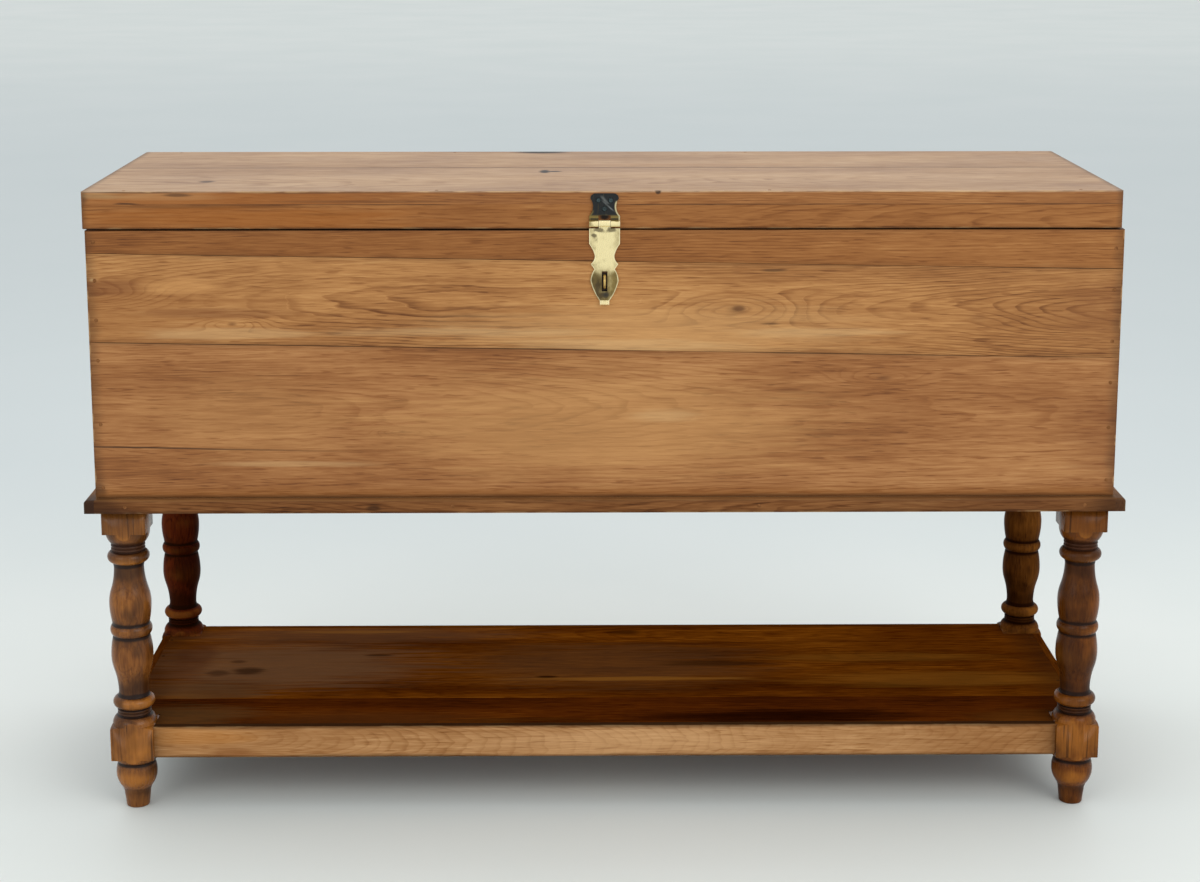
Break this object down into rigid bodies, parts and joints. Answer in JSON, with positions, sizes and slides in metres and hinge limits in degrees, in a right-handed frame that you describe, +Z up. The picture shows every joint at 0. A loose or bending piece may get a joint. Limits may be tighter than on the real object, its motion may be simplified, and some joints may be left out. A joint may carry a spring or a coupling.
{
  "type": "sugar chest",
  "caption": "Wide wooden chest with a flat hinged lid and brass hasp, carried on turned legs with a low plank shelf between them.",
  "frame": {"origin": "on the floor, under the centre of the whole chest", "axes": "+X to the right along the front, +Y to the back, +Z up"},
  "size_m": [1.243, 0.4274, 0.769],
  "materials": {
    "case_board": "honey brown boards, waxed, worn at the edges",
    "plain_board": "plain sawn boards, little finish",
    "lid_wood": "paler boards with a soft wax sheen",
    "ledge_wood": "dark stained strip, satin",
    "leg_wood": "dark reddish stain, semi-gloss",
    "shelf_wood": "dark stain, polished",
    "rail_wood": "lighter rail, satin",
    "hasp_brass": "rubbed pale brass with dark patina",
    "dark_brass": "blackened brass, rubbed at the edges",
    "hinge_brass": "aged brass",
    "nail_iron": "dark rusted iron"
  },
  "bodies": {
    "chest": {"front_board_top": "case_board", "front_board_middle": "case_board", "front_board_bottom": "case_board", "back_board_lower": "plain_board", "back_board_upper": "plain_board", "left_end_board_lower": "case_board", "left_end_board_upper": "case_board", "right_end_board_lower": "case_board", "right_end_board_upper": "case_board", "bottom_board_front": "plain_board", "bottom_board_back": "plain_board", "bin_divider": "plain_board", "ledge_front": "ledge_wood", "ledge_left": "ledge_wood", "ledge_right": "ledge_wood", "leg_front_left": "leg_wood", "leg_front_right": "leg_wood", "leg_back_left": "leg_wood", "leg_back_right": "leg_wood", "shelf_front_rail": "rail_wood", "shelf_back_rail": "rail_wood", "shelf_left_rail": "rail_wood", "shelf_right_rail": "rail_wood", "shelf_board_front": "shelf_wood", "shelf_board_middle_front": "shelf_wood", "shelf_board_middle_back": "shelf_wood", "shelf_board_back": "shelf_wood", "shelf_bearer": "plain_board", "hinge_left_case_leaf": "hinge_brass", "hinge_right_case_leaf": "hinge_brass", "hinge_left_pin": "hinge_brass", "hinge_right_pin": "hinge_brass", "hinge_case_screws": "hinge_brass", "hasp_staple": "hasp_brass", "case_nails": "nail_iron", "ledge_nails": "nail_iron", "shelf_nails": "nail_iron"},
    "lid": {"lid_board_front": "lid_wood", "lid_board_back": "lid_wood", "lid_rail_front": "case_board", "lid_rail_back": "plain_board", "lid_rail_left": "case_board", "lid_rail_right": "case_board", "hinge_left_lid_leaf": "hinge_brass", "hinge_right_lid_leaf": "hinge_brass", "hinge_lid_screws": "hinge_brass", "hasp_top_leaf": "dark_brass", "hasp_screws": "dark_brass", "hasp_pin": "hasp_brass", "lid_nails": "nail_iron"},
    "hasp": {"hasp_leaf": "hasp_brass"}
  },
  "joints": [
    {"name": "lid_hinge", "type": "hinge", "parent": "chest", "child": "lid", "pos_m": [0, 0.20975, 0.724], "axis": [-1, 0, 0], "range_deg": [0, 110]},
    {"name": "hasp_hinge", "type": "hinge", "parent": "lid", "child": "hasp", "pos_m": [-0.0015, -0.20505, 0.7315], "axis": [-1, 0, 0], "range_deg": [0, 175]}
  ]
}
